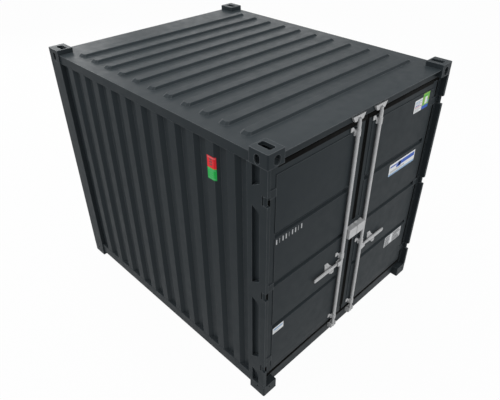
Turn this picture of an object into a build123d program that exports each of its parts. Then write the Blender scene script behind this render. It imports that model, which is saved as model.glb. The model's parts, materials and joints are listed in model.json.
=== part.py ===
from build123d import *
import os

# Shipping container, 10 ft by 8 ft by 8 ft 6 in, in millimetres.
# x runs across, y runs along with the doors at the low end, z is up from the ground.

# Envelope over the corner castings
LENGTH = 2991.0
WIDTH = 2438.0
HEIGHT = 2591.0

# Corner castings and their openings
CASTING_ACROSS = 162.0
CASTING_ALONG = 178.0
CASTING_TALL = 118.0
CASTING_FACE_WALL = 28.0
CASTING_SIDE_WALL = 12.0
CASTING_BACK = 10.0
CASTING_ROUND = 12.0
SLOT_LONG = 124.0
SLOT_SHORT = 63.5
SLOT_ROUND = 16.0
SLOT_FROM_SIDE = 89.5
SLOT_FROM_END = 101.5
SIDE_HOLE_WIDE = 51.0
END_HOLE_WIDE = 63.5
HOLE_TALL = 79.0
HOLE_FROM_TOP = 70.0
PIN_HOLE_RADIUS = 12.5
PIN_HOLE_FROM_SIDE = 75.0
PIN_HOLE_FROM_END = 83.0
PIN_HOLE_LEVEL = 80.0

# Frame
RAIL_RECESS = 15.0
POST_INSET = 2.0
TOP_RAIL_DEEP = 60.0
TOP_RAIL_TALL = 80.0
TUBE_WALL = 4.0
ROOF_DROP = 48.0
BOTTOM_RAIL_LOW = 50.0
BOTTOM_RAIL_HIGH = 161.0
BOTTOM_FLANGE = 60.0
BOTTOM_PLATE = 4.5

# Sheet walls and roof
SHEET = 2.0
WAVE_PITCH = 226.0
WAVE_OUTER_FLAT = 80.0
WAVE_SLOPE = 40.0
WAVE_DEEP = 36.0
RIDGE_WIDE = 105.0
RIDGE_FROM_SIDE = 139.0
RIDGE_SIDE_SLOPE = 17.0
RIDGE_END_SLOPE = 32.0
RIDGE_TALL = 22.0
RIDGE_CORNER = 26.0
RIDGE_CROWN_CORNER = 15.0

# Corner posts
REAR_POST_THICK = 54.0
POST_PLATE = 6.0
FRONT_POST_ALONG = 200.5
FRONT_FLANGE_WIDE = 29.0
JAMB_FROM_SIDE = 61.0
SIDE_CHANNEL_DEEP = 32.0
SIDE_CHANNEL_NEAR = 48.0
SIDE_CHANNEL_WIDE = 79.0
HINGE_PLATE_NEAR_TALL = 254.0
HINGE_PLATE_FAR_TALL = 165.0

# Door end
FACE_RECESS = 60.0
HEADER_TALL = 89.0
HEADER_THICK = 62.0
SILL_RECESS = 72.0
SILL_LOW = 15.0
SILL_HIGH = 155.0
SILL_THICK = 90.0

# Doors
DOOR_INNER = 17.0
DOOR_GAP_SIDE = 34.0
DOOR_GAP_LOW = 40.0
DOOR_GAP_HIGH = 33.0
DOOR_THICK = 50.0
DOOR_STILE = 54.0
DOOR_MEETING_STILE = 63.0
DOOR_RAIL = 66.0
DOOR_CHANNEL_WALL = 3.0
PANEL_PROUD = 5.0
PANEL_SHEET = 3.0
PANEL_RIM = 32.0
GROOVE_PITCH = 507.0
GROOVES = 3
GROOVE_WIDE = 60.0
GROOVE_SLOPE = 16.0
GROOVE_DEEP = 24.0
GASKET_RECESS = 64.0
GASKET_THICK = 20.0
GASKET_GAP = 5.0
MEETING_GAP = 7.0

# Hinges
PIN_FROM_SIDE = 19.0
PIN_RECESS = 35.5
PIN_RADIUS = 9.0
PIN_BORE_GAP = 0.5
KNUCKLE_RADIUS = 16.0
HINGE_FROM_DOOR_LOW = 190.0
HINGE_FROM_DOOR_HIGH = 206.0
NOTCH_TALL = 80.0
NOTCH_DEEP = 53.5
BLADE_TALL = 70.0
BLADE_THICK = 12.0
BLADE_PROUD = 6.5
BLADE_ON_DOOR = 52.0
BLADE_NECK = 12.0
BLADE_BACK = 8.0
BLADE_STEP_START = 14.0
BLADE_STEP_END = 26.0
POCKET_CLEAR = 7.0
POCKET_SKIN = 3.0

# Lock rods and their keepers
ROD_FROM_CENTRE = 152.0
ROD_RECESS = 34.0
ROD_RADIUS = 16.0
NECK_RADIUS = 13.0
NECK_SHOWS = 8.0
CAM_RADIUS = 17.0
KEEPER_SIDE_GAP = 5.0
KEEPER_BACK_GAP = 4.0
KEEPER_END_GAP = 6.0
TOP_KEEPER_LIFT = 1.0
TOP_KEEPER_TALL = 47.0
TOP_KEEPER_HOLD = 20.0
TOP_KEEPER_WIDE = 164.0
TOP_KEEPER_LOW_WIDE = 108.0
TOP_KEEPER_RECESS = 40.0
LOW_KEEPER_DROP = 16.0
LOW_KEEPER_TALL = 58.0
LOW_KEEPER_WIDE = 76.0
LOW_KEEPER_RECESS = 20.0
LOW_KEEPER_TRAY = 6.0
LOW_KEEPER_BEVEL = 12.0

# Rod brackets on the doors
TOP_BRACKET_DROP = 95.0
MID_BRACKET_LIFT = 12.0
LOW_BRACKET_LIFT = 16.0
SLEEVE_TALL = 52.0
SLEEVE_WALL = 3.5
SLEEVE_GAP = 0.5
FOOT_HALF_WIDE = 31.0
FOOT_THICK = 6.0
EAR_ROOT = 18.0
EAR_NEAR = 52.0
EAR_FAR = 80.0
EAR_ROOT_LOW = 18.0
EAR_ROOT_HIGH = 42.0
EAR_BEND_LOW = 58.0
EAR_TAB_LOW = 44.0
EAR_TAB_HIGH = 82.0

# Handles and their catches
HUB_LEVEL = 994.0
HUB_TALL = 70.0
HUB_END_TALL = 44.0
HUB_WIDE = 30.0
HUB_REACH = 64.0
HUB_SLOT = 20.0
HANDLE_PIN_REACH = 44.0
HANDLE_PIN_RADIUS = 6.0
HANDLE_BORE_GAP = 0.3
HANDLE_LONG = 394.0
HANDLE_TALL = 38.0
HANDLE_THICK = 10.0
HANDLE_NECK_TALL = 28.0
HANDLE_NECK_END = 110.0
HANDLE_GRIP_START = 134.0
HANDLE_CORNER = 8.0
HANDLE_GROOVE_TALL = 18.0
HANDLE_GROOVE_DEEP = 3.0
HANDLE_GROOVE_START = 262.0
HANDLE_GROOVE_END = 14.0
CATCH_FROM_ROD = 183.0
CATCH_PLATE = 6.0
CATCH_TAB_LEFT = -54.0
CATCH_TAB_RIGHT = -12.0
CATCH_TAB_HIGH = 89.0
CATCH_TAB_HOLE = 7.0
CATCH_TAB_HOLE_DROP = 21.0
CATCH_WAIST_LEFT = -44.0
CATCH_WAIST_RIGHT = 15.0
CATCH_WAIST_HIGH = 52.0
CATCH_WAIST_LOW = 12.0
CATCH_HEEL = -32.0
CATCH_HEEL_LOW = -16.0
CATCH_LIP_LEFT = 65.0
CATCH_LIP_RIGHT = 98.0
CATCH_LIP_HIGH = -34.0
CATCH_LIP_LOW = -96.0
CATCH_LIP_ROOT = 32.0
CATCH_LIP_ROOT_LOW = -57.0
CATCH_SHELF_LEFT = -5.0
CATCH_SHELF_RIGHT = 50.0
CATCH_SHELF_GAP = 6.0
CATCH_SHELF_RECESS = 20.0

# Lock box over the meeting of the doors
LOCK_BOX_HALF = 115.0
LOCK_BOX_RECESS = 5.0
LOCK_BOX_LEVEL = 1251.0
LOCK_BOX_TALL = 104.0
LOCK_BOX_LEDGE_DEEP = 9.0
LOCK_BOX_LEDGE_TALL = 6.0
LOCK_BOX_NOTCH = 24.0
LOCK_BOX_NOTCH_FROM_END = 36.0
LOCK_PLATE = 5.0
LOCK_PLATE_BELOW = 26.0
LOCK_PLATE_ABOVE = 49.0

# Cargo floor
FLOOR_BOARD = 28.0
FLOOR_BOARD_WIDE = 286.0
BOARD_GAP = 2.0
CROSS_SPACING = 278.0
CROSS_FROM_CASTING = 45.0
CROSS_WIDE = 45.0
CROSS_PLATE = 4.0

# Derived planes
SIDE = WIDTH / 2
END = LENGTH / 2
RAIL_X = SIDE - RAIL_RECESS
RAIL_Y = END - RAIL_RECESS
FACE_Y = -END + FACE_RECESS
FRONT_POST_BACK = -END + FRONT_POST_ALONG
REAR_POST_FRONT = END - CASTING_ALONG
FLOOR_TOP = BOTTOM_RAIL_HIGH
FLOOR_LOW = BOTTOM_RAIL_HIGH - FLOOR_BOARD
ROOF_LEVEL = HEIGHT - ROOF_DROP
ROOF_TOP = ROOF_LEVEL + SHEET
WALL_HIGH = ROOF_LEVEL - TOP_RAIL_TALL
POST_HIGH = HEIGHT - CASTING_TALL
INSIDE_CASTINGS = SIDE - CASTING_ACROSS
HEADER_LOW = ROOF_LEVEL - HEADER_TALL
JAMB_X = SIDE - JAMB_FROM_SIDE
DOOR_OUTER = JAMB_X - DOOR_GAP_SIDE
DOOR_LOW = SILL_HIGH + DOOR_GAP_LOW
DOOR_HIGH = HEADER_LOW - DOOR_GAP_HIGH
OPEN_INNER = DOOR_INNER + DOOR_MEETING_STILE
OPEN_OUTER = DOOR_OUTER - DOOR_STILE
OPEN_LOW = DOOR_LOW + DOOR_RAIL
OPEN_HIGH = DOOR_HIGH - DOOR_RAIL
PANEL_Y = FACE_Y - PANEL_PROUD
PIN_X = SIDE - PIN_FROM_SIDE
PIN_Y = -END + PIN_RECESS
ROD_Y = -END + ROD_RECESS
TOP_KEEPER_LOW = HEADER_LOW + TOP_KEEPER_LIFT
LOW_KEEPER_HIGH = SILL_HIGH - LOW_KEEPER_DROP
LOW_KEEPER_LOW = LOW_KEEPER_HIGH - LOW_KEEPER_TALL
CUT_OVER = 1.0


def block(x0, x1, y0, y1, z0, z1):
    return Pos((x0 + x1) / 2, (y0 + y1) / 2, (z0 + z1) / 2) * Box(x1 - x0, y1 - y0, z1 - z0)


def prism_z(points, z0, z1):
    face = make_face(Polyline(*points, close=True))
    return Pos(0, 0, z0) * extrude(face, amount=z1 - z0)


def prism_y(points, y0, y1):
    plane = Plane(origin=(0, y1, 0), x_dir=(1, 0, 0), z_dir=(0, -1, 0))
    face = plane * make_face(Polyline(*points, close=True))
    return extrude(face, amount=y1 - y0)


def prism_x(points, x0, x1):
    plane = Plane(origin=(x0, 0, 0), x_dir=(0, 1, 0), z_dir=(1, 0, 0))
    face = plane * make_face(Polyline(*points, close=True))
    return extrude(face, amount=x1 - x0)


def mirrored(shape):
    return mirror(shape, about=Plane.YZ)


def save(name, shape):
    export_step(shape, f"parts/{name}.step")


def save_pair(name, right_shape):
    save(f"{name}_right", right_shape)
    save(f"{name}_left", mirrored(right_shape))


# Corner castings

def casting_block():
    half_x, half_y, half_z = CASTING_ACROSS / 2, CASTING_ALONG / 2, CASTING_TALL / 2
    body = Box(CASTING_ACROSS, CASTING_ALONG, CASTING_TALL)
    outer_edge = body.edges().filter_by(Axis.Z).sort_by(Axis.X)[-2:].sort_by(Axis.Y)[-1:]
    body = fillet(outer_edge, CASTING_ROUND)
    body -= block(
        -half_x + CASTING_BACK, half_x - CASTING_SIDE_WALL,
        -half_y + CASTING_BACK, half_y - CASTING_SIDE_WALL,
        -half_z + CASTING_BACK, half_z - CASTING_FACE_WALL,
    )
    slot = RectangleRounded(SLOT_SHORT, SLOT_LONG, SLOT_ROUND)
    slot = extrude(slot, amount=CASTING_FACE_WALL + 2 * CUT_OVER)
    slot_z = half_z - CASTING_FACE_WALL - CUT_OVER
    return body - Pos(half_x - SLOT_FROM_SIDE, half_y - SLOT_FROM_END, slot_z) * slot


def side_bore(outline, y, z):
    plane = Plane(origin=(CASTING_ACROSS / 2 + CUT_OVER, y, z), x_dir=(0, 1, 0), z_dir=(-1, 0, 0))
    return extrude(plane * outline, amount=CASTING_SIDE_WALL + 2 * CUT_OVER)


def end_bore(outline, x, z):
    plane = Plane(origin=(x, CASTING_ALONG / 2 + CUT_OVER, z), x_dir=(1, 0, 0), z_dir=(0, -1, 0))
    return extrude(plane * outline, amount=CASTING_SIDE_WALL + 2 * CUT_OVER)


def top_casting():
    half_x, half_y, half_z = CASTING_ACROSS / 2, CASTING_ALONG / 2, CASTING_TALL / 2
    hole_z = half_z - HOLE_FROM_TOP
    body = casting_block()
    body -= side_bore(SlotOverall(HOLE_TALL, SIDE_HOLE_WIDE, rotation=90), half_y - SLOT_FROM_END, hole_z)
    body -= end_bore(SlotOverall(HOLE_TALL, END_HOLE_WIDE, rotation=90), half_x - SLOT_FROM_SIDE, hole_z)
    return Pos(SIDE - half_x, END - half_y, HEIGHT - half_z) * body


def bottom_casting():
    half_x, half_y, half_z = CASTING_ACROSS / 2, CASTING_ALONG / 2, CASTING_TALL / 2
    hole_z = PIN_HOLE_LEVEL - half_z
    body = mirror(casting_block(), about=Plane.XY)
    body -= side_bore(Circle(PIN_HOLE_RADIUS), half_y - PIN_HOLE_FROM_END, hole_z)
    body -= end_bore(Circle(PIN_HOLE_RADIUS), half_x - PIN_HOLE_FROM_SIDE, hole_z)
    return Pos(SIDE - half_x, END - half_y, half_z) * body


def save_castings():
    for level, rear in (("top", top_casting()), ("bottom", bottom_casting())):
        save_pair(f"casting_rear_{level}", rear)
        save_pair(f"casting_front_{level}", mirror(rear, about=Plane.XZ))


# Corrugated walls

def wave_inner_flat():
    return WAVE_PITCH - WAVE_OUTER_FLAT - 2 * WAVE_SLOPE


def wave_count(start, end):
    return int((end - start + wave_inner_flat()) // WAVE_PITCH)


def wave_starts(start, end):
    count = wave_count(start, end)
    first = (start + end - count * WAVE_PITCH + wave_inner_flat()) / 2
    return [first + index * WAVE_PITCH for index in range(count)]


def sheet_outline(start, end):
    front = [(start, WAVE_DEEP)]
    for place in wave_starts(start, end):
        front.append((place, WAVE_DEEP))
        front.append((place + WAVE_SLOPE, 0.0))
        front.append((place + WAVE_SLOPE + WAVE_OUTER_FLAT, 0.0))
        front.append((place + WAVE_PITCH - wave_inner_flat(), WAVE_DEEP))
    front.append((end, WAVE_DEEP))
    return front + [(place, deep + SHEET) for place, deep in reversed(front)]


def side_wall():
    outline = sheet_outline(FRONT_POST_BACK, REAR_POST_FRONT)
    points = [(RAIL_X - deep, place) for place, deep in outline]
    return prism_z(points, BOTTOM_RAIL_HIGH, WALL_HIGH)


def rear_wall():
    outline = sheet_outline(-INSIDE_CASTINGS, INSIDE_CASTINGS)
    points = [(place, RAIL_Y - deep) for place, deep in outline]
    return prism_z(points, BOTTOM_RAIL_HIGH, WALL_HIGH)


# Roof

def octagon(half_x, half_y, cut, z):
    corner = [(half_x - cut, half_y), (half_x, half_y - cut), (half_x, cut - half_y), (half_x - cut, -half_y)]
    return [(x, y, z) for x, y in corner + [(-x, -y) for x, y in corner]]


def frustum(low, high):
    sides = [(low[index - 1], low[index], high[index], high[index - 1]) for index in range(len(low))]
    return Solid(Shell([make_face(Polyline(*ring, close=True)) for ring in [low, high, *sides]]))


def ridge(drop):
    wide, long = RIDGE_WIDE / 2, SIDE - RIDGE_FROM_SIDE
    low = octagon(long, wide, RIDGE_CORNER, ROOF_TOP - drop)
    high = octagon(
        long - RIDGE_END_SLOPE, wide - RIDGE_SIDE_SLOPE, RIDGE_CROWN_CORNER, ROOF_TOP + RIDGE_TALL - drop,
    )
    return frustum(low, high)


def roof_panel():
    roof = block(-RAIL_X, RAIL_X, -RAIL_Y, RAIL_Y, ROOF_LEVEL, ROOF_TOP)
    for x_side in (-1, 1):
        for y_side in (-1, 1):
            corner = Pos(x_side * SIDE, y_side * END, ROOF_LEVEL)
            roof -= corner * Box(2 * CASTING_ACROSS, 2 * CASTING_ALONG, CASTING_TALL)
    half_wave = (WAVE_PITCH - wave_inner_flat()) / 2
    places = [start + half_wave for start in wave_starts(FRONT_POST_BACK, REAR_POST_FRONT)]
    roof += [Pos(0, place, 0) * ridge(0) for place in places]
    roof -= [Pos(0, place, 0) * ridge(SHEET) for place in places]
    return roof


# Frame rails

def tube(x0, x1, y0, y1, z0, z1, wall, axis):
    solid = block(x0, x1, y0, y1, z0, z1)
    if axis == "x":
        return solid - block(x0, x1, y0 + wall, y1 - wall, z0 + wall, z1 - wall)
    return solid - block(x0 + wall, x1 - wall, y0, y1, z0 + wall, z1 - wall)


def top_side_rail():
    span = END - CASTING_ALONG
    rail = tube(RAIL_X - TOP_RAIL_DEEP, RAIL_X, -span, span, WALL_HIGH, ROOF_LEVEL, TUBE_WALL, "y")
    return rail - block(0, SIDE, -END, FRONT_POST_BACK, WALL_HIGH, POST_HIGH)


def rear_top_rail():
    back = RAIL_Y - TOP_RAIL_DEEP
    return tube(-INSIDE_CASTINGS, INSIDE_CASTINGS, back, RAIL_Y, WALL_HIGH, ROOF_LEVEL, TUBE_WALL, "x")


def channel(outer, low, high):
    inner, web = outer - BOTTOM_FLANGE, outer - BOTTOM_PLATE
    lower, upper = low + BOTTOM_PLATE, high - BOTTOM_PLATE
    return [
        (inner, low), (outer, low), (outer, high), (inner, high),
        (inner, upper), (web, upper), (web, lower), (inner, lower),
    ]


def bottom_side_rail():
    span = END - CASTING_ALONG
    rail = prism_y(channel(RAIL_X, BOTTOM_RAIL_LOW, BOTTOM_RAIL_HIGH), -span, span)
    rail -= block(0, SIDE, -END, FRONT_POST_BACK, CASTING_TALL, BOTTOM_RAIL_HIGH)
    return rail


def rear_bottom_rail():
    return prism_x(channel(RAIL_Y, BOTTOM_RAIL_LOW, BOTTOM_RAIL_HIGH), -INSIDE_CASTINGS, INSIDE_CASTINGS)


def end_lugs(front, back, z0, z1):
    lug = block(INSIDE_CASTINGS, JAMB_X, front, back, z0, z1)
    return lug + mirrored(lug)


def door_header():
    wide, back = INSIDE_CASTINGS, FACE_Y + HEADER_THICK
    beam = tube(-wide, wide, FACE_Y, back, HEADER_LOW, ROOF_LEVEL, TUBE_WALL, "x")
    beam += block(-wide, wide, -RAIL_Y, FACE_Y, ROOF_LEVEL - TUBE_WALL, ROOF_LEVEL)
    return beam + end_lugs(FACE_Y, back, HEADER_LOW, POST_HIGH)


def door_sill():
    wide, front = INSIDE_CASTINGS, -END + SILL_RECESS
    back = front + SILL_THICK
    beam = tube(-wide, wide, front, back, SILL_LOW, SILL_HIGH, BOTTOM_PLATE, "x")
    return beam + end_lugs(front, back, CASTING_TALL, SILL_HIGH)


# Corner posts

def rear_post():
    outer_x, outer_y = SIDE - POST_INSET, END - POST_INSET
    step_x, step_y = outer_x - REAR_POST_THICK, outer_y - REAR_POST_THICK
    face = make_face(Polyline(
        (outer_x, REAR_POST_FRONT), (outer_x, outer_y), (INSIDE_CASTINGS, outer_y),
        (INSIDE_CASTINGS, step_y), (step_x, step_y), (step_x, REAR_POST_FRONT), close=True,
    ))
    hollow = offset(face, amount=-POST_PLATE)
    return Pos(0, 0, CASTING_TALL) * extrude(face - hollow, amount=POST_HIGH - CASTING_TALL)


def hinge_levels():
    low, high = DOOR_LOW + HINGE_FROM_DOOR_LOW, DOOR_HIGH - HINGE_FROM_DOOR_HIGH
    return [low, (low + high) / 2, high]


def front_post():
    outer, front = SIDE - POST_INSET, -END + POST_INSET
    flange = outer - FRONT_FLANGE_WIDE
    channel_x = outer - SIDE_CHANNEL_DEEP
    channel_far = FRONT_POST_BACK - SIDE_CHANNEL_NEAR
    channel_near = channel_far - SIDE_CHANNEL_WIDE
    outline = [
        (outer, front), (flange, front), (flange, FACE_Y), (JAMB_X, FACE_Y),
        (JAMB_X, FRONT_POST_BACK), (outer, FRONT_POST_BACK), (outer, channel_far),
        (channel_x, channel_far), (channel_x, channel_near), (outer, channel_near),
    ]
    post = prism_z(outline, CASTING_TALL, POST_HIGH)
    hollow = offset(make_face(Polyline(*outline, close=True)), amount=-POST_PLATE)
    near, far = HINGE_PLATE_NEAR_TALL / 2, HINGE_PLATE_FAR_TALL / 2
    reach = NOTCH_TALL / 2 + POST_PLATE
    start = CASTING_TALL
    for level in hinge_levels():
        plate = [
            (channel_near, level - near), (channel_far, level - far),
            (channel_far, level + far), (channel_near, level + near),
        ]
        post += prism_x(plate, channel_x, outer)
        post -= hinge_notch(level, outer, flange)
        post -= Pos(0, 0, start) * extrude(hollow, amount=level - reach - start)
        start = level + reach
    return post - Pos(0, 0, start) * extrude(hollow, amount=POST_HIGH - start)


def hinge_notch(level, outer, flange):
    low, high = level - NOTCH_TALL / 2, level + NOTCH_TALL / 2
    front = -END - CUT_OVER
    pocket_back = FACE_Y + BLADE_THICK + POCKET_CLEAR
    notch = block(flange - CUT_OVER, SIDE + CUT_OVER, front, -END + NOTCH_DEEP, low, high)
    return notch + block(JAMB_X - CUT_OVER, outer - POCKET_SKIN, front, pocket_back, low, high)


def hinge_pins():
    pins = [Pos(PIN_X, PIN_Y, level) * Cylinder(PIN_RADIUS, NOTCH_TALL) for level in hinge_levels()]
    return Compound(children=pins + [mirrored(pin) for pin in pins])


# Cargo floor

def floor_boards():
    span = RAIL_X - BOTTOM_FLANGE
    front, back = -END + SILL_RECESS + SILL_THICK, RAIL_Y - BOTTOM_FLANGE
    count = round(2 * span / FLOOR_BOARD_WIDE)
    step = 2 * span / count
    boards = []
    for index in range(count):
        x0 = -span + index * step + BOARD_GAP / 2
        boards.append(block(x0, x0 + step - BOARD_GAP, front, back, FLOOR_LOW, FLOOR_TOP))
    return Compound(children=boards)


def cross_members():
    web_face = RAIL_X - BOTTOM_PLATE
    low, high = BOTTOM_RAIL_LOW + BOTTOM_PLATE, FLOOR_LOW
    lower, upper = low + CROSS_PLATE, high - CROSS_PLATE
    front = -END + CASTING_ALONG + CROSS_FROM_CASTING
    back = END - CASTING_ALONG - CROSS_FROM_CASTING - CROSS_WIDE
    bays = round((back - front) / CROSS_SPACING)
    members = []
    for index in range(bays + 1):
        y0 = front + index * (back - front) / bays
        web, y1 = y0 + CROSS_PLATE, y0 + CROSS_WIDE
        points = [
            (y0, low), (y1, low), (y1, lower), (web, lower),
            (web, upper), (y1, upper), (y1, high), (y0, high),
        ]
        members.append(prism_x(points, -web_face, web_face))
    return Compound(children=members)


# Doors, right leaf

def door_ring(wall, front, back):
    ring = block(
        DOOR_INNER + wall, DOOR_OUTER - wall, front, back, DOOR_LOW + wall, DOOR_HIGH - wall,
    )
    return ring - block(
        OPEN_INNER - wall, OPEN_OUTER + wall, front, back, OPEN_LOW - wall, OPEN_HIGH + wall,
    )


def door_frame():
    back, wall = FACE_Y + DOOR_THICK, DOOR_CHANNEL_WALL
    return door_ring(0.0, FACE_Y, back) - door_ring(wall, FACE_Y + wall, back) + lock_plate()


def lock_plate():
    low, high = LOCK_BOX_LEVEL - LOCK_PLATE_BELOW, LOCK_BOX_LEVEL + LOCK_BOX_TALL + LOCK_PLATE_ABOVE
    return block(MEETING_GAP / 2, OPEN_INNER - LOCK_PLATE, FACE_Y - LOCK_PLATE, FACE_Y, low, high)


def groove_line(skin):
    face, rim = PANEL_Y + skin, FACE_Y + PANEL_RIM
    floor, half = face + GROOVE_DEEP, GROOVE_WIDE / 2
    low, high = OPEN_LOW + skin, OPEN_HIGH - skin
    first = (DOOR_LOW + DOOR_HIGH - (GROOVES - 1) * GROOVE_PITCH) / 2
    points = [(rim, low), (face, low)]
    for index in range(GROOVES):
        level = first + index * GROOVE_PITCH
        points += [(face, level - half), (floor, level - half + GROOVE_SLOPE)]
        points += [(floor, level + half - GROOVE_SLOPE), (face, level + half)]
    return points + [(face, high), (rim, high)]


def door_panel():
    pan = prism_x(groove_line(0.0), OPEN_INNER, OPEN_OUTER)
    return pan - prism_x(groove_line(PANEL_SHEET), OPEN_INNER + PANEL_SHEET, OPEN_OUTER - PANEL_SHEET)


def door_gasket():
    front = -END + GASKET_RECESS
    back = front + GASKET_THICK
    gasket = block(
        MEETING_GAP / 2, JAMB_X - GASKET_GAP, front, back, SILL_HIGH + GASKET_GAP, HEADER_LOW - GASKET_GAP,
    )
    gasket -= block(DOOR_INNER, DOOR_OUTER, front, back, DOOR_LOW, DOOR_HIGH)
    half = BLADE_TALL / 2
    for level in hinge_levels():
        gasket -= block(DOOR_OUTER, SIDE, front, FACE_Y + BLADE_THICK, level - half, level + half)
    return gasket


def hinge_blade(level):
    blade_back, proud = FACE_Y + BLADE_THICK, FACE_Y - BLADE_PROUD
    neck, heel = PIN_X - BLADE_NECK, PIN_X + BLADE_BACK
    points = [
        (heel, PIN_Y), (heel, blade_back), (DOOR_OUTER, blade_back), (DOOR_OUTER, FACE_Y),
        (DOOR_OUTER - BLADE_ON_DOOR, FACE_Y), (DOOR_OUTER - BLADE_ON_DOOR, proud),
        (DOOR_OUTER + BLADE_STEP_START, proud), (DOOR_OUTER + BLADE_STEP_END, FACE_Y),
        (neck, FACE_Y), (neck, PIN_Y),
    ]
    half = BLADE_TALL / 2
    middle = Pos(PIN_X, PIN_Y, level)
    blade = prism_z(points, level - half, level + half) + middle * Cylinder(KNUCKLE_RADIUS, BLADE_TALL)
    return blade - middle * Cylinder(PIN_RADIUS + PIN_BORE_GAP, BLADE_TALL + 2 * CUT_OVER)


def door_hinges():
    return Compound(children=[hinge_blade(level) for level in hinge_levels()])


def rod_bracket(side, low):
    rod_x = side * ROD_FROM_CENTRE
    radius = ROD_RADIUS + SLEEVE_GAP + SLEEVE_WALL
    high, plate_y = low + SLEEVE_TALL, PANEL_Y - FOOT_THICK
    middle = Pos(rod_x, ROD_Y, (low + high) / 2)
    bracket = middle * Cylinder(radius, SLEEVE_TALL)
    bracket += block(rod_x - radius, rod_x + radius, ROD_Y, PANEL_Y, low, high)
    bracket += block(rod_x - FOOT_HALF_WIDE, rod_x + FOOT_HALF_WIDE, plate_y, PANEL_Y, low, high)
    ear = [
        (-EAR_ROOT, EAR_ROOT_LOW), (-EAR_NEAR, EAR_BEND_LOW), (-EAR_NEAR, EAR_TAB_LOW),
        (-EAR_FAR, EAR_TAB_LOW), (-EAR_FAR, EAR_TAB_HIGH), (-EAR_NEAR, EAR_TAB_HIGH),
        (-EAR_ROOT, EAR_ROOT_HIGH),
    ]
    bracket += prism_y([(rod_x + x, low + z) for x, z in ear], plate_y, PANEL_Y)
    return bracket - middle * Cylinder(ROD_RADIUS + SLEEVE_GAP, SLEEVE_TALL + 2 * CUT_OVER)


def foot_packing(side, low, high):
    rod_x = side * ROD_FROM_CENTRE
    return block(rod_x - FOOT_HALF_WIDE, rod_x + FOOT_HALF_WIDE, PANEL_Y, FACE_Y, low, high)


def rod_brackets(side):
    low, top = DOOR_LOW + LOW_BRACKET_LIFT, DOOR_HIGH - TOP_BRACKET_DROP
    return Compound(children=[
        rod_bracket(side, low) + foot_packing(side, low, OPEN_LOW),
        rod_bracket(side, HUB_LEVEL + HUB_TALL / 2 + MID_BRACKET_LIFT),
        rod_bracket(side, top) + foot_packing(side, OPEN_HIGH, top + SLEEVE_TALL),
    ])


def handle_catch(side):
    middle, plate_y = side * (ROD_FROM_CENTRE + CATCH_FROM_ROD), PANEL_Y - CATCH_PLATE
    outline = [
        (CATCH_WAIST_LEFT, CATCH_WAIST_LOW), (CATCH_HEEL, CATCH_HEEL_LOW),
        (CATCH_LIP_ROOT, CATCH_LIP_ROOT_LOW), (CATCH_LIP_LEFT, CATCH_LIP_LOW),
        (CATCH_LIP_RIGHT, CATCH_LIP_LOW), (CATCH_LIP_RIGHT, CATCH_LIP_HIGH),
        (CATCH_WAIST_RIGHT, CATCH_WAIST_HIGH),
        (CATCH_TAB_RIGHT, CATCH_TAB_HIGH), (CATCH_TAB_LEFT, CATCH_TAB_HIGH),
    ]
    plane = Plane(origin=(middle, PANEL_Y, HUB_LEVEL), x_dir=(1, 0, 0), z_dir=(0, -1, 0))
    hole_x = (CATCH_TAB_LEFT + CATCH_TAB_RIGHT) / 2
    plate = make_face(Polyline(*outline, close=True))
    plate -= Pos(hole_x, CATCH_TAB_HIGH - CATCH_TAB_HOLE_DROP) * Circle(CATCH_TAB_HOLE)
    shelf_top = HUB_LEVEL - HANDLE_TALL / 2 - CATCH_SHELF_GAP
    return extrude(plane * plate, amount=CATCH_PLATE) + block(
        middle + CATCH_SHELF_LEFT, middle + CATCH_SHELF_RIGHT, -END + CATCH_SHELF_RECESS, plate_y,
        shelf_top - CATCH_PLATE, shelf_top,
    )


def lock_box():
    inner, front, back = MEETING_GAP / 2, -END + LOCK_BOX_RECESS, FACE_Y - LOCK_PLATE
    high = LOCK_BOX_LEVEL + LOCK_BOX_TALL
    ledge_y, ledge_z = back - LOCK_BOX_LEDGE_DEEP, high + LOCK_BOX_LEDGE_TALL
    box = prism_x([
        (front, LOCK_BOX_LEVEL), (back, LOCK_BOX_LEVEL), (back, ledge_z), (ledge_y, ledge_z),
        (ledge_y, high), (front, high),
    ], inner, LOCK_BOX_HALF)
    notch = LOCK_BOX_HALF - LOCK_BOX_NOTCH_FROM_END
    return box - block(notch - LOCK_BOX_NOTCH, notch, ledge_y, back, high, ledge_z)


# Rods and handles, right side

def rod_piece(radius, low, high):
    return Pos(ROD_FROM_CENTRE, ROD_Y, (low + high) / 2) * Cylinder(radius, high - low)


def lock_rod():
    bearing_low = DOOR_LOW + LOW_BRACKET_LIFT - NECK_SHOWS
    bearing_high = TOP_KEEPER_LOW - NECK_SHOWS
    cam_low = LOW_KEEPER_LOW + LOW_KEEPER_TRAY + KEEPER_END_GAP
    rod = rod_piece(ROD_RADIUS, bearing_low, bearing_high)
    rod += rod_piece(NECK_RADIUS, bearing_high, TOP_KEEPER_LOW + TOP_KEEPER_HOLD)
    rod += rod_piece(NECK_RADIUS, LOW_KEEPER_HIGH, bearing_low)
    rod += rod_piece(CAM_RADIUS, cam_low, LOW_KEEPER_HIGH)
    return rod + handle_hub()


def handle_hub():
    half, end_half = HUB_TALL / 2, HUB_END_TALL / 2
    end = ROD_FROM_CENTRE + HUB_REACH
    hub = prism_y([
        (ROD_FROM_CENTRE, HUB_LEVEL - half), (end, HUB_LEVEL - end_half),
        (end, HUB_LEVEL + end_half), (ROD_FROM_CENTRE, HUB_LEVEL + half),
    ], ROD_Y - HUB_WIDE / 2, ROD_Y + HUB_WIDE / 2)
    hub -= block(
        ROD_FROM_CENTRE + ROD_RADIUS, end + CUT_OVER, ROD_Y - HUB_SLOT / 2, ROD_Y + HUB_SLOT / 2,
        HUB_LEVEL - half, HUB_LEVEL + half,
    )
    return hub + extrude(handle_plane(HUB_WIDE) * Circle(HANDLE_PIN_RADIUS), amount=HUB_WIDE)


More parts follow.
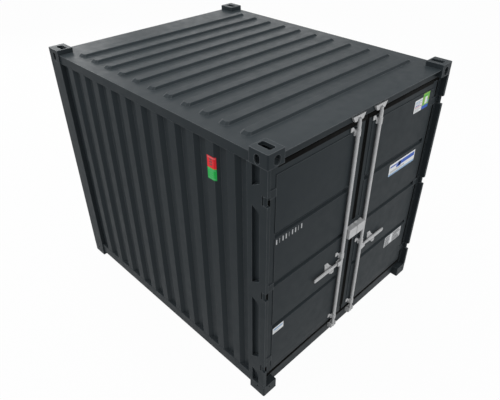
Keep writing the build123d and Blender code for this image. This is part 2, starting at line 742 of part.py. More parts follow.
def handle_plane(thick):
    place = (ROD_FROM_CENTRE + HANDLE_PIN_REACH, ROD_Y + thick / 2, HUB_LEVEL)
    return Plane(origin=place, x_dir=(1, 0, 0), z_dir=(0, -1, 0))


def handle():
    neck, grip = HANDLE_NECK_TALL / 2, HANDLE_TALL / 2
    end = HANDLE_LONG - HANDLE_PIN_REACH
    neck_end, grip_start = HANDLE_NECK_END - HANDLE_PIN_REACH, HANDLE_GRIP_START - HANDLE_PIN_REACH
    outline = make_face(Polyline(
        (0, -neck), (neck_end, -neck), (grip_start, -grip), (end, -grip),
        (end, grip), (grip_start, grip), (neck_end, neck), (0, neck), close=True,
    ))
    outline = fillet(outline.vertices().sort_by(Axis.X)[-2:], HANDLE_CORNER) + Circle(neck)
    outline -= Circle(HANDLE_PIN_RADIUS + HANDLE_BORE_GAP)
    bar = extrude(handle_plane(HANDLE_THICK) * outline, amount=HANDLE_THICK)
    front = ROD_Y - HANDLE_THICK / 2
    half = HANDLE_GROOVE_TALL / 2
    return bar - block(
        ROD_FROM_CENTRE + HANDLE_GROOVE_START, ROD_FROM_CENTRE + HANDLE_LONG - HANDLE_GROOVE_END,
        front, front + HANDLE_GROOVE_DEEP, HUB_LEVEL - half, HUB_LEVEL + half,
    )


# Keepers on the header and the sill

def rod_slot(radius, back, low, high):
    half = radius + KEEPER_SIDE_GAP
    return block(ROD_FROM_CENTRE - half, ROD_FROM_CENTRE + half, -END - CUT_OVER, back, low, high)


def top_keeper():
    low, high = TOP_KEEPER_LOW, TOP_KEEPER_LOW + TOP_KEEPER_TALL
    wide, narrow = TOP_KEEPER_WIDE / 2, TOP_KEEPER_LOW_WIDE / 2
    outline = [(-wide, high), (-narrow, low), (narrow, low), (wide, high)]
    keeper = prism_y([(ROD_FROM_CENTRE + x, z) for x, z in outline], -END + TOP_KEEPER_RECESS, FACE_Y)
    back = ROD_Y + NECK_RADIUS + KEEPER_BACK_GAP
    return keeper - rod_slot(NECK_RADIUS, back, low - CUT_OVER, low + TOP_KEEPER_HOLD + KEEPER_END_GAP)


def low_keeper():
    front, back = -END + LOW_KEEPER_RECESS, -END + SILL_RECESS
    low, high, half = LOW_KEEPER_LOW, LOW_KEEPER_HIGH, LOW_KEEPER_WIDE / 2
    bevel = LOW_KEEPER_BEVEL
    outline = [(front, high), (front, low + bevel), (front + bevel, low), (back, low), (back, high)]
    keeper = prism_x(outline, ROD_FROM_CENTRE - half, ROD_FROM_CENTRE + half)
    slot_back = ROD_Y + CAM_RADIUS + KEEPER_BACK_GAP
    return keeper - rod_slot(CAM_RADIUS, slot_back, low + LOW_KEEPER_TRAY, high + CUT_OVER)


def rod_keepers():
    right = [top_keeper(), low_keeper()]
    return Compound(children=right + [mirrored(keeper) for keeper in right])


def main():
    os.makedirs("parts", exist_ok=True)
    save_castings()
    save_pair("side_wall", side_wall())
    save_pair("top_side_rail", top_side_rail())
    save_pair("bottom_side_rail", bottom_side_rail())
    save_pair("rear_post", rear_post())
    save_pair("front_post", front_post())
    save("rear_wall", rear_wall())
    save("roof_panel", roof_panel())
    save("rear_top_rail", rear_top_rail())
    save("rear_bottom_rail", rear_bottom_rail())
    save("door_header", door_header())
    save("door_sill", door_sill())
    save("floor_boards", floor_boards())
    save("floor_cross_members", cross_members())
    save("hinge_pins", hinge_pins())
    save("rod_keepers", rod_keepers())
    save_pair("door_frame", door_frame())
    save_pair("door_panel", door_panel())
    save_pair("door_gasket", door_gasket())
    save_pair("door_hinges", door_hinges())
    for name, side in (("right", 1), ("left", -1)):
        save(f"rod_brackets_{name}", rod_brackets(side))
        save(f"handle_catch_{name}", handle_catch(side))
    save_pair("lock_box", lock_box())
    save_pair("lock_rod", lock_rod())
    save_pair("handle", handle())


main()
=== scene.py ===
import json
import math

import bmesh
import bpy
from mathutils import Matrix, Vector


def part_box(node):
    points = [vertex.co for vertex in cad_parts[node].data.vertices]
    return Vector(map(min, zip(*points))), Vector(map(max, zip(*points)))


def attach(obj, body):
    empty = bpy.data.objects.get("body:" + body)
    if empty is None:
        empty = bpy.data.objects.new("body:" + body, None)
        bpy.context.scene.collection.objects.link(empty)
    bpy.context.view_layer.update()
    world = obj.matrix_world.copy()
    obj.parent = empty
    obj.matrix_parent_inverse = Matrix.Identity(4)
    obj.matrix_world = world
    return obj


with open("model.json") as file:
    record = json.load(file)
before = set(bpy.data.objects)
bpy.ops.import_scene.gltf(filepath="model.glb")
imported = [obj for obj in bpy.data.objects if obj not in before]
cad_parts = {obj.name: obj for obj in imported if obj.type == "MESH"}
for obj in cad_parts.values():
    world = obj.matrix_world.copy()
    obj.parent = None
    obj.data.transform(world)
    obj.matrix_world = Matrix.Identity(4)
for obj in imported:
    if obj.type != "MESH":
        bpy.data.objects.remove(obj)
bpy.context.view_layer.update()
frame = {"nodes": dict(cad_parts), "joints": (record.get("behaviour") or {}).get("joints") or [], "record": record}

# Camera at the photograph's viewpoint, in metres and in pixels of a 500 by 400 frame
CAMERA_PLACE = Vector((-3.18963, -3.35389, 4.15860))
CAMERA_FORWARD = Vector((0.57488, 0.57721, -0.57995))
FRAME_WIDTH = 500.0
FRAME_HEIGHT = 400.0
FOCAL_PIXELS = 493.877
CENTRE_PIXEL = (254.687, 202.216)
SENSOR = 36.0

# Stage and light. Each lamp has a name, a place, a point that it faces, a width and a power
FLOOR_SIZE = 60.0
FLOOR_COLOUR = (0.62, 0.62, 0.62, 1.0)
FLOOR_GLOW = 0.97
WORLD_LIGHT = (0.92, 0.96, 1.0)
WORLD_STRENGTH = 0.56
LAMPS = (
    ("ceiling", (-2.0, 1.0, 9.0), (0.0, 0.0, 1.5), 8.0, 440.0),
    ("rear_wall_light", (1.5, 10.0, 5.0), (0.0, 0.0, 2.0), 5.0, 260.0),
    ("door_fill", (5.0, -7.5, 4.0), (0.2, -1.5, 1.1), 4.0, 145.0),
    ("rear_corner_light", (7.0, 7.0, 4.5), (0.0, 0.0, 2.0), 6.0, 140.0),
)

# Colours, linear
PAINT = (0.0280, 0.0343, 0.0380)
PAINT_LIGHT = (0.0338, 0.0410, 0.0447)
# Edge colours: worn paint, which also serves as a painted highlight along the edges
PAINT_EDGE_WEAR_AND_HIGHLIGHT = (0.135, 0.146, 0.152)
CASTING_EDGE_WEAR_AND_HIGHLIGHT = (0.19, 0.20, 0.21)
# Dust, and also the colour that undersides are lightened towards as painted fill light against their shade
DUST_AND_UNDERSIDE_FILL = (0.095, 0.098, 0.098)
ZINC = (0.56, 0.555, 0.55)
ZINC_DARK = (0.47, 0.47, 0.47)
ZINC_EDGE = (0.78, 0.78, 0.78)
RUBBER = (0.0045, 0.0045, 0.0042)
RUBBER_DUST = (0.05, 0.05, 0.047)
PLY = (0.23, 0.13, 0.07)
PLY_DARK = (0.13, 0.07, 0.035)
PLY_SCUFF = (0.10, 0.08, 0.06)
VINYL = {
    "white": (0.88, 0.88, 0.87),
    "grey": (0.58, 0.58, 0.58),
    "dark": (0.07, 0.075, 0.08),
    "blue": (0.02, 0.10, 0.50),
    "pale_blue": (0.30, 0.46, 0.66),
    "green": (0.22, 0.50, 0.06),
    "sign_green": (0.015, 0.50, 0.08),
    "sign_red": (0.90, 0.02, 0.03),
    "pink": (0.70, 0.20, 0.20),
    "mint": (0.10, 0.52, 0.20),
}

# Edge width, colour of the edges lightened by wear and by a painted highlight, and the scale and height of the
# surface waves
SHEET_PAINT = (0.006, PAINT_EDGE_WEAR_AND_HIGHLIGHT, 2.6, 0.004)
# Castings and hinges get wider and lighter edges, a stronger painted highlight along them
CASTING_PAINT = (0.0075, CASTING_EDGE_WEAR_AND_HIGHLIGHT, 90.0, 0.0008)
CASTING_PAINT_NODES = ("casting", "door_hinges")

# The sides with their signs in x, and directions
SIDES = (("left", -1), ("right", 1))
OUTWARD = (0, -1, 0)
UP = (0, 0, 1)
NOT_ALONG_ANY_EDGE = Vector((0.31, 0.23, 0.92))

# Sizes from here on are in metres, and an X is a distance from the middle of the doors

# Vertices nearer than this are one, and a wall's vertex this near to a level lies on it
SAME_POINT = 1e-6
SAME_LEVEL = 1e-4

# Labels
LABEL_THICK = 0.0006
PRINT_THICK = 0.00015
LABEL_RADIUS = 0.004

# Round heads: radius and height
BOLT = (0.0042, 0.003)
RIVET = (0.0055, 0.003)
BOSS = (0.0125, 0.006)
PIN_HEAD = (0.010, 0.004)
SCREW = (0.0055, 0.0012)
FITTING_SEGMENTS = 20
SCREW_SEGMENTS = 10

# Bolts of the rod brackets, from the rod and from the foot of each bracket
BRACKET_FOOT_PROUD = 0.006
BRACKET_BOLT_ASIDE = 0.0258
BRACKET_BOLT_HIGHS = (0.009, 0.043)

# Rivets of the handle catches, in x and z from the catch's middle and the handle's pin
CATCH_BOX_TO_MIDDLE = 0.022
CATCH_RIVETS = ((0.081, -0.080), (0.081, -0.050), (-0.042, 0.030))

# Bolts of the plates above and below the lock box
LOCK_BOLT_XS = (0.016, 0.062)
LOCK_BOLT_ABOVE = 0.026
LOCK_BOLT_BELOW = 0.014

# Collars and washers: inner radius, outer radius and height, and where they start from the sleeve or knuckle
COLLAR = (0.0158, 0.0192, 0.004)
COLLAR_BELOW = 0.005
COLLAR_ABOVE = 0.001
SLEEVE_TALL = 0.052
WASHER = (0.0092, 0.0155, 0.003)
WASHER_BELOW = 0.0045
WASHER_ABOVE = 0.0015

# The strap on each handle (width, height, corner radius), the boss beside it and the pin's place
ROD_TO_CATCH = 0.183
STRAP_SIZE = (0.062, 0.036, 0.006)
STRAP_THICK = 0.0045
STRAP_RIM = 0.0015
STRAP_SHIFT = 0.012
BOSS_SHIFT = 0.034
HUB_HALF = 0.015

# Weld beads: the ripples, then the radius of each kind and where it lies
WELD_STEP = 0.0035
WELD_RIPPLE = 0.007
WELD_SWELL = 0.16
WALL_WELD = 0.0025
WALL_WELD_SIDES = 5
CASTING_WELD = 0.0014
FRONT_FLANGE = 0.029
HINGE_WELD = 0.003
HINGE_WELD_END = 0.002
HINGE_WELD_BACK = 0.005
PANEL_WELD = 0.0035
PANEL_XS = (0.080, 1.070)
PANEL_ZS = (0.261, 2.355)
GROOVE_LEVELS = (0.801, 1.308, 1.815)
GROOVE_HALF = 0.031
GROOVE_FLOOR_HALF = 0.015
GROOVE_DEPTH = 0.022

# Seals: the ribs round each door, the strips at the meeting edge and the top, and the lip at the foot
DOOR_OUTER_X = 1.124
MEETING_X = 0.0035
RIB = 0.0032
RIB_SHIFT = 0.006
RIB_HINGE_GAP = 0.004
STRIP_X = 0.0265
STRIP_PROUD = 0.0029
STRIP_CHAMFER = 0.0015
STRIP_TOP = 2.407
STRIP_RIB = 0.002
STRIP_RIB_ASIDE = 0.009
STRIP_RIB_END = 0.01
STRIP_ABOVE_PANEL_FOOT = 0.002
LOCK_PLATE_ZS = (1.223, 1.406)
TOP_STRIP_X = 1.054
LOW_LIP_X = 1.150
LOW_LIP_YS = (-0.0005, 0.0073)
LOW_LIP_ZS = (-0.018, 0.003)

# Floor screws
SCREW_FROM_EDGE = 0.035
SCREW_SUNK = 0.0004

# Printed fields, each a share of its sheet: left, low, right, high, colour
SERVICE_COLOURS = ("grey", "grey", "grey", "pink", "blue", "grey", "pale_blue", "pale_blue")
SERVICE_FIELDS = [
    (0.08, 0.08 + 0.105 * k, 0.92 if k % 2 else 0.7, 0.13 + 0.105 * k, colour)
    for k, colour in enumerate(SERVICE_COLOURS)
]
GREEN_FIELDS = [
    (0.0, 0.0, 1.0, 0.22, "blue"),
    (0.36, 0.30, 0.72, 0.74, "white"),
    (0.08, 0.80, 0.92, 0.86, "sign_green"),
    (0.78, 0.32, 0.94, 0.50, "pale_blue"),
]
BAND_FIELDS = [
    (0.03, 0.70, 0.44, 0.82, "blue"),
    (0.34, 0.52, 0.97, 0.86, "blue"),
    (0.27, 0.44, 0.44, 0.68, "blue"),
    (0.0, 0.0, 1.0, 0.16, "pale_blue"),
    (0.05, 0.22, 0.60, 0.40, "grey"),
]
DATA_FIELDS = [
    (left, 0.08 + 0.18 * k, right - shorter * (k % period), 0.08 + 0.18 * k + 0.09, "dark")
    for k in range(5)
    for left, right, shorter, period in ((0.04, 0.30, 0.04, 2), (0.50, 0.94, 0.08, 3))
] + [(0.35, 0.04, 0.44, 0.96, "white")]
SMALL_FIELDS = [(0.08, 0.52, 0.92, 0.80, "pale_blue"), (0.08, 0.2, 0.6, 0.32, "grey")]

# Name, door, ends in x, ends in z, sheet colour and fields
DOOR_LABELS = (
    ("label_service", "right", (0.759, 0.893), (2.196, 2.320), "white", SERVICE_FIELDS),
    ("label_green", "right", (0.897, 1.009), (2.196, 2.352), "green", GREEN_FIELDS),
    ("label_band", "right", (0.503, 0.960), (1.628, 1.756), "white", BAND_FIELDS),
    ("plate_data", "right", (0.693, 1.012), (0.630, 0.767), "grey", DATA_FIELDS),
    ("label_small", "left", (-1.062, -0.924), (0.696, 0.767), "white", SMALL_FIELDS),
)
MARK_COUNT = 9
MARK_START = -1.056
MARK_PITCH = 0.0362
MARK_WIDE = 0.012
MARK_THIN = 0.006
MARK_ZS = (1.722, 1.770)

# The label on the side wall, and its bars: low, high and ends in y
SIDE_LABEL_YS = (-0.860, -0.9328)
SIDE_LABEL_FOLD = (0.0135, -0.9478)
SIDE_LABEL_INSET = Vector((-0.0045, 0.005, 0))
SIDE_LABEL_ZS = (2.136, 2.2365, 2.337)
SIDE_LABEL_BORDER = 0.007
SIDE_LABEL_LEAN = 0.4
RED_BARS = [(z, z + 0.010, (-0.885, -0.915)) for z in (2.262, 2.284, 2.306)]
GREEN_BARS = [(z, z + 0.007, (-0.880, -0.920)) for z in (2.162, 2.182, 2.202)]


# Node helpers

class Graph:
    """A material's node tree with short ways to add and join nodes."""

    def __init__(self, name):
        self.material = bpy.data.materials.new(name)
        self.material.use_nodes = True
        self.tree = self.material.node_tree
        self.tree.nodes.clear()
        self.out = self.add("ShaderNodeOutputMaterial")
        self.coords = self.add("ShaderNodeTexCoord").outputs["Object"]

    def add(self, kind, **values):
        node = self.tree.nodes.new(kind)
        for key, value in values.items():
            setattr(node, key, value)
        return node

    def put(self, target, value):
        if isinstance(value, bpy.types.NodeSocket):
            self.tree.links.new(value, target)
        else:
            target.default_value = value

    def math(self, operation, a, b):
        node = self.add("ShaderNodeMath", operation=operation)
        self.put(node.inputs[0], a)
        self.put(node.inputs[1], b)
        return node.outputs[0]

    def noise(self, scale, detail, stretch=(1.0, 1.0, 1.0)):
        mapping = self.add("ShaderNodeMapping")
        self.put(mapping.inputs["Vector"], self.coords)
        mapping.inputs["Scale"].default_value = stretch
        node = self.add("ShaderNodeTexNoise")
        self.put(node.inputs["Vector"], mapping.outputs[0])
        self.put(node.inputs["Scale"], scale)
        self.put(node.inputs["Detail"], detail)
        self.put(node.inputs["Roughness"], 0.55)
        return node.outputs["Fac"]

    def spread(self, value, low, high, to_low=0.0, to_high=1.0):
        """The value with low to high spread over to_low to to_high, and held at its ends."""
        node = self.add("ShaderNodeMapRange")
        self.put(node.inputs["Value"], value)
        ends = (("From Min", low), ("From Max", high), ("To Min", to_low), ("To Max", to_high))
        for name, number in ends:
            self.put(node.inputs[name], number)
        return node.outputs[0]

    def mix(self, share, a, b):
        node = self.add("ShaderNodeMix", data_type="RGBA")
        self.put(node.inputs["Factor"], share)
        self.put(node.inputs["A"], a if isinstance(a, bpy.types.NodeSocket) else (*a, 1.0))
        self.put(node.inputs["B"], b if isinstance(b, bpy.types.NodeSocket) else (*b, 1.0))
        return node.outputs["Result"]

    def edges(self, radius):
        """1 on an edge and 0 away from one."""
        bevel = self.add("ShaderNodeBevel", samples=6)
        bevel.inputs["Radius"].default_value = radius
        geometry = self.add("ShaderNodeNewGeometry")
        dot = self.add("ShaderNodeVectorMath", operation="DOT_PRODUCT")
        self.put(dot.inputs[0], bevel.outputs[0])
        self.put(dot.inputs[1], geometry.outputs["Normal"])
        return self.spread(dot.outputs["Value"], 0.995, 0.85)

    def height(self):
        split = self.add("ShaderNodeSeparateXYZ")
        self.put(split.inputs[0], self.coords)
        return split.outputs["Z"]

    def facing_down(self):
        """1 on an underside and 0 on an upright face or a top."""
        split = self.add("ShaderNodeSeparateXYZ")
        self.put(split.inputs[0], self.add("ShaderNodeNewGeometry").outputs["Normal"])
        return self.spread(split.outputs["Z"], -0.25, -0.6)

    def bump(self, height, distance, strength, normal=None):
        node = self.add("ShaderNodeBump")
        self.put(node.inputs["Height"], height)
        self.put(node.inputs["Distance"], distance)
        self.put(node.inputs["Strength"], strength)
        if normal is not None:
            self.put(node.inputs["Normal"], normal)
        return node.outputs[0]

    def finish(self, **sockets):
        shader = self.add("ShaderNodeBsdfPrincipled")
        for name, value in sockets.items():
            self.put(shader.inputs[name.replace("_", " ")], value)
        self.put(self.out.inputs["Surface"], shader.outputs[0])
        return self.material


# Materials

def painted_steel(name, edge_radius, edge_wear_and_highlight_colour, wave_scale, wave_height):
    """Satin anthracite paint: clouds, streaks, dust low down, undersides lightened as painted fill light, edges
    lightened by wear and by a painted highlight, orange peel.
    """
    g = Graph(name)
    cloud = g.spread(g.noise(0.9, 3.0), 0.3, 0.7)
    colour = g.mix(g.math("MULTIPLY", cloud, 0.35), PAINT, PAINT_LIGHT)
    streaks = g.spread(g.noise(7.0, 3.0, stretch=(1.0, 1.0, 0.04)), 0.5, 0.85)
    colour = g.mix(g.math("MULTIPLY", streaks, 0.06), colour, DUST_AND_UNDERSIDE_FILL)
    low = g.spread(g.height(), 0.55, 0.0)
    splash = g.math("MULTIPLY", low, g.spread(g.noise(16.0, 5.0), 0.35, 0.75, 0.0, 0.16))
    colour = g.mix(splash, colour, DUST_AND_UNDERSIDE_FILL)
    # Painted fill light: undersides are mixed lighter, towards the dust colour, to lift the shade they lie in
    painted_underside_fill = g.math("MULTIPLY", g.facing_down(), g.spread(g.noise(14.0, 4.0), 0.3, 0.7, 0.1, 0.25))
    colour = g.mix(painted_underside_fill, colour, DUST_AND_UNDERSIDE_FILL)
    # Edges lightened by wear in patches, which also paints a highlight along every edge
    edge_wear_and_highlight = g.math("MULTIPLY", g.edges(edge_radius), g.spread(g.noise(9.0, 4.0), 0.25, 0.75, 0.4, 0.8))
    colour = g.mix(edge_wear_and_highlight, colour, edge_wear_and_highlight_colour)
    rough = g.spread(g.noise(11.0, 4.0), 0.3, 0.7, 0.38, 0.50)
    peel = g.bump(g.noise(380.0, 2.0), 0.0003, 0.15)
    waves = g.bump(g.noise(wave_scale, 2.0), wave_height, 0.25, peel)
    return g.finish(Base_Color=colour, Roughness=rough, Normal=waves, Specular_IOR_Level=0.05)


def galvanised():
    """Dull zinc: spangle, cloudy bloom, brighter rubbed edges and fine pitting."""
    g = Graph("galvanised_steel")
    bloom = g.spread(g.noise(24.0, 4.0), 0.35, 0.65)
    spangle = g.add("ShaderNodeTexVoronoi")
    g.put(spangle.inputs["Vector"], g.coords)
    g.put(spangle.inputs["Scale"], 130.0)
    colour = g.mix(g.math("MULTIPLY", bloom, 0.5), ZINC, ZINC_DARK)
    colour = g.mix(g.math("MULTIPLY", spangle.outputs["Color"], 0.22), colour, ZINC_EDGE)
    colour = g.mix(g.math("MULTIPLY", g.edges(0.003), 0.7), colour, ZINC_EDGE)
    rough = g.spread(g.noise(60.0, 3.0), 0.3, 0.7, 0.45, 0.62)
    normal = g.bump(g.noise(240.0, 3.0), 0.0004, 0.35)
    return g.finish(Base_Color=colour, Roughness=rough, Normal=normal, Metallic=0.25, Specular_IOR_Level=0.4)


def rubber():
    """Matt black rubber with a little dust in patches."""
    g = Graph("seal_rubber")
    dust = g.spread(g.noise(20.0, 4.0), 0.5, 0.8)
    colour = g.mix(g.math("MULTIPLY", dust, 0.05), RUBBER, RUBBER_DUST)
    rough = g.spread(g.noise(50.0, 3.0), 0.3, 0.7, 0.7, 0.88)
    normal = g.bump(g.noise(300.0, 2.0), 0.0003, 0.4)
    return g.finish(Base_Color=colour, Roughness=rough, Normal=normal, Specular_IOR_Level=0.05)


def plywood():
    """Sealed floor boards with grain along the container and scuffs."""
    g = Graph("floor_plywood")
    grain = g.spread(g.noise(22.0, 6.0, stretch=(1.0, 0.06, 1.0)), 0.3, 0.7)
    colour = g.mix(grain, PLY, PLY_DARK)
    scuffs = g.spread(g.noise(5.0, 5.0), 0.5, 0.75)
    colour = g.mix(g.math("MULTIPLY", scuffs, 0.4), colour, PLY_SCUFF)
    rough = g.spread(grain, 0.0, 1.0, 0.45, 0.65)
    normal = g.bump(grain, 0.0008, 0.5)
    return g.finish(Base_Color=colour, Roughness=rough, Normal=normal)


def vinyl(name, colour):
    """Printed sticker film: ink that varies a little, a fine print grain and soft scuffs."""
    g = Graph("vinyl_" + name)
    scuff = g.spread(g.noise(30.0, 5.0), 0.5, 0.8)
    shade = g.mix(g.math("MULTIPLY", scuff, 0.16), colour, tuple(0.8 * c for c in colour))
    rough = g.spread(g.noise(90.0, 3.0), 0.3, 0.7, 0.35, 0.5)
    normal = g.bump(g.noise(500.0, 2.0), 0.0001, 0.3)
    return g.finish(Base_Color=shade, Roughness=rough, Normal=normal, Specular_IOR_Level=0.2)


def make_finishes():
    """The materials by name: the record's four slots, the castings' paint and the sticker colours."""
    finishes = {
        "paint": painted_steel("painted_steel", *SHEET_PAINT),
        "casting": painted_steel("painted_castings", *CASTING_PAINT),
        "gear": galvanised(),
        "seal": rubber(),
        "floor": plywood(),
    }
    finishes.update({name: vinyl(name, colour) for name, colour in VINYL.items()})
    return finishes


def dress_nodes():
    slots = {row["node"]: row["material_slot"] for row in frame["record"]["subparts"]}
    for name, node in frame["nodes"].items():
        finish = "casting" if name.startswith(CASTING_PAINT_NODES) else slots[name]
        node.data.materials.clear()
        node.data.materials.append(finishes[finish])


# Stage, light and camera

def white_floor():
    """White where the camera or a reflection sees it, and a plain pale floor to the light."""
    g = Graph("stage_floor")
    diffuse = g.add("ShaderNodeBsdfDiffuse")
    diffuse.inputs["Color"].default_value = FLOOR_COLOUR
    glow = g.add("ShaderNodeEmission")
    rays = g.add("ShaderNodeLightPath").outputs
    mirrored = g.math("MAXIMUM", rays["Is Glossy Ray"], rays["Is Transmission Ray"])
    seen = g.math("MAXIMUM", rays["Is Camera Ray"], mirrored)
    mix = g.add("ShaderNodeMixShader")
    g.put(mix.inputs[0], g.math("MULTIPLY", seen, FLOOR_GLOW))
    g.put(mix.inputs[1], diffuse.outputs[0])
    g.put(mix.inputs[2], glow.outputs[0])
    g.put(g.out.inputs["Surface"], mix.outputs[0])
    return g.material


def build_stage():
    bpy.ops.mesh.primitive_plane_add(size=FLOOR_SIZE, location=(0, 0, 0))
    floor = bpy.context.object
    floor.name = "floor"
    floor.data.materials.append(white_floor())


def build_world():
    """A soft even light, and plain white wherever the camera or a reflection looks past the floor."""
    world = bpy.data.worlds.new("studio")
    bpy.context.scene.world = world
    world.use_nodes = True
    tree = world.node_tree
    tree.nodes.clear()
    out = tree.nodes.new("ShaderNodeOutputWorld")
    mix = tree.nodes.new("ShaderNodeMixShader")
    rays = tree.nodes.new("ShaderNodeLightPath")
    mirrored = tree.nodes.new("ShaderNodeMath")
    seen = tree.nodes.new("ShaderNodeMath")
    mirrored.operation = seen.operation = "MAXIMUM"
    light = tree.nodes.new("ShaderNodeBackground")
    light.inputs["Color"].default_value = (*WORLD_LIGHT, 1.0)
    light.inputs["Strength"].default_value = WORLD_STRENGTH
    white = tree.nodes.new("ShaderNodeBackground")
    white.inputs["Color"].default_value = (1.0, 1.0, 1.0, 1.0)
    for source, target in (
        (rays.outputs["Is Glossy Ray"], mirrored.inputs[0]),
        (rays.outputs["Is Transmission Ray"], mirrored.inputs[1]),
        (rays.outputs["Is Camera Ray"], seen.inputs[0]),
        (mirrored.outputs[0], seen.inputs[1]),
        (seen.outputs[0], mix.inputs[0]),
        (light.outputs[0], mix.inputs[1]),
        (white.outputs[0], mix.inputs[2]),
        (mix.outputs[0], out.inputs["Surface"]),
    ):
        tree.links.new(source, target)


def area_light(name, place, aim, size, power):
    lamp = bpy.data.lights.new(name, "AREA")
    lamp.shape = "DISK"
    lamp.size = size
    lamp.energy = power
    obj = bpy.data.objects.new(name, lamp)
    obj.location = place
    obj.rotation_euler = (Vector(aim) - Vector(place)).to_track_quat("-Z", "Y").to_euler()
    bpy.context.scene.collection.objects.link(obj)


def build_camera():
    lens = bpy.data.cameras.new("camera")
    lens.sensor_width = SENSOR
    lens.lens = FOCAL_PIXELS / FRAME_WIDTH * SENSOR
    lens.shift_x = (FRAME_WIDTH / 2 - CENTRE_PIXEL[0]) / FRAME_WIDTH
    lens.shift_y = (CENTRE_PIXEL[1] - FRAME_HEIGHT / 2) / FRAME_WIDTH
    camera = bpy.data.objects.new("camera", lens)
    camera.location = CAMERA_PLACE
    camera.rotation_euler = CAMERA_FORWARD.to_track_quat("-Z", "Y").to_euler()
    bpy.context.scene.collection.objects.link(camera)
    bpy.context.scene.camera = camera


# Mesh helpers

def piece(name, bm, finish_names, body, smooth=False):
    """A new object from the mesh, with its materials, that rides on the body."""
    mesh = bpy.data.meshes.new(name)
    bmesh.ops.recalc_face_normals(bm, faces=bm.faces)
    bm.to_mesh(mesh)
    bm.free()
    for finish in finish_names:
        mesh.materials.append(finishes[finish])
    for face in mesh.polygons:
        face.use_smooth = smooth
    obj = bpy.data.objects.new(name, mesh)
    bpy.context.scene.collection.objects.link(obj)
    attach(obj, body)


def axes(normal, up):
    """Right, up and normal of a flat place, as unit vectors."""
    normal = Vector(normal).normalized()
    right = Vector(up).cross(normal).normalized()
    return right, normal.cross(right), normal


def circle(centre, across, up, radius, count, lift=Vector((0, 0, 0))):
    """Points round a centre in the plane of two unit vectors, all moved by the lift."""
    turns = (2 * math.pi * k / count for k in range(count))
    return [centre + radius * (math.cos(a) * across + math.sin(a) * up) + lift for a in turns]


def rounded_outline(width, tall, radius, steps=4):
    points = []
    for x, y, start in (
        (width / 2 - radius, tall / 2 - radius, 0.0), (radius - width / 2, tall / 2 - radius, 0.5),
        (radius - width / 2, radius - tall / 2, 1.0), (width / 2 - radius, radius - tall / 2, 1.5),
    ):
        for step in range(steps + 1):
            turn = math.pi * (start + 0.5 * step / steps)
            points.append((x + radius * math.cos(turn), y + radius * math.sin(turn)))
    return points


def add_points(bm, points):
    return [bm.verts.new(point) for point in points]


def bridge(bm, rings):
    """Quads between each ring of points and the next."""
    faces = []
    for low, high in zip(rings, rings[1:]):
        for i in range(len(low)):
            faces.append(bm.faces.new((low[i - 1], low[i], high[i], high[i - 1])))
    return faces


def towards_zero(value, step):
    """The value moved a step nearer to zero, and never past it."""
    return value - math.copysign(min(step, abs(value)), value)


def add_sheet(bm, centre, outline, thick, material=0, rim=0.0):
    """A closed flat sheet that faces out of the doors, with a sloped rim round its front."""
    right, up, normal = axes(OUTWARD, UP)
    rings = []
    for lift, inset in ((0.0, 0.0), (thick - rim, 0.0), (thick, rim)):
        shrunk = [(towards_zero(x, inset), towards_zero(y, inset)) for x, y in outline]
        rings.append(add_points(bm, [centre + x * right + y * up + lift * normal for x, y in shrunk]))
    for face in [bm.faces.new(rings[0]), bm.faces.new(rings[2])] + bridge(bm, rings):
        face.material_index = material


def add_dome(bm, centre, normal, size, segments=14):
    """A round head of a radius and height: a short straight side, a rolled shoulder and a crowned top."""
    radius, height = size
    right, up, normal = axes(normal, (0, 0, 1) if abs(normal[2]) < 0.9 else (0, 1, 0))
    profile = ((1.0, 0.0), (1.0, 0.35), (0.93, 0.62), (0.75, 0.84), (0.45, 0.96))
    rings = [
        add_points(bm, circle(centre, right, up, radius * wide, segments, height * tall * normal))
        for wide, tall in profile
    ]
    top = bm.verts.new(centre + height * normal)
    bm.faces.new(rings[0])
    bridge(bm, rings)
    for i in range(segments):
        bm.faces.new((rings[-1][i - 1], rings[-1][i], top))


def add_washer(bm, centre, size, segments=32):
    """A flat lying washer of an inner radius, outer radius and height, with small chamfers outside."""
    inner, outer, thick = size
    right, up, axis = axes(UP, (0, 1, 0))
    chamfer = 0.2 * thick
    profile = (
        (inner, 0.0), (outer - chamfer, 0.0), (outer, chamfer),
        (outer, thick - chamfer), (outer - chamfer, thick), (inner, thick),
    )
    rings = [add_points(bm, circle(centre, right, up, r, segments, z * axis)) for r, z in profile]
    bridge(bm, rings[-1:] + rings)


def add_tube(bm, path, radii, sides):
    """A round bar along a path with a radius at each of its points, closed at both ends."""
    rings = []
    for i, radius in enumerate(radii):
        along = (path[min(i + 1, len(path) - 1)] - path[max(i - 1, 0)]).normalized()
        side = along.cross(NOT_ALONG_ANY_EDGE).normalized()
        rings.append(add_points(bm, circle(path[i], side, along.cross(side), radius, sides)))
    bridge(bm, rings)
    bm.faces.new(rings[0])
    bm.faces.new(rings[-1])


def add_rib(bm, start, end, radius, sides=10):
    """A plain round rib between two points."""
    add_tube(bm, [Vector(start), Vector(end)], (radius, radius), sides)


def resample(points, step):
    """The same path with points at most a step apart, each kept corner included."""
    out = [Vector(points[0])]
    for a, b in zip(points, points[1:]):
        a, b = Vector(a), Vector(b)
        count = max(1, math.ceil((b - a).length / step))
        out += [a.lerp(b, k / count) for k in range(1, count + 1)]
    return out


def add_weld(bm, points, radius, sides=6):
    """A rippled weld bead along a path."""
    path = resample(points, WELD_STEP)
    radii, travelled = [], 0.0
    for i, point in enumerate(path):
        if i:
            travelled += (point - path[i - 1]).length
        radii.append(radius * (1.0 + WELD_SWELL * math.sin(2 * math.pi * travelled / WELD_RIPPLE)))
    add_tube(bm, path, radii, sides)


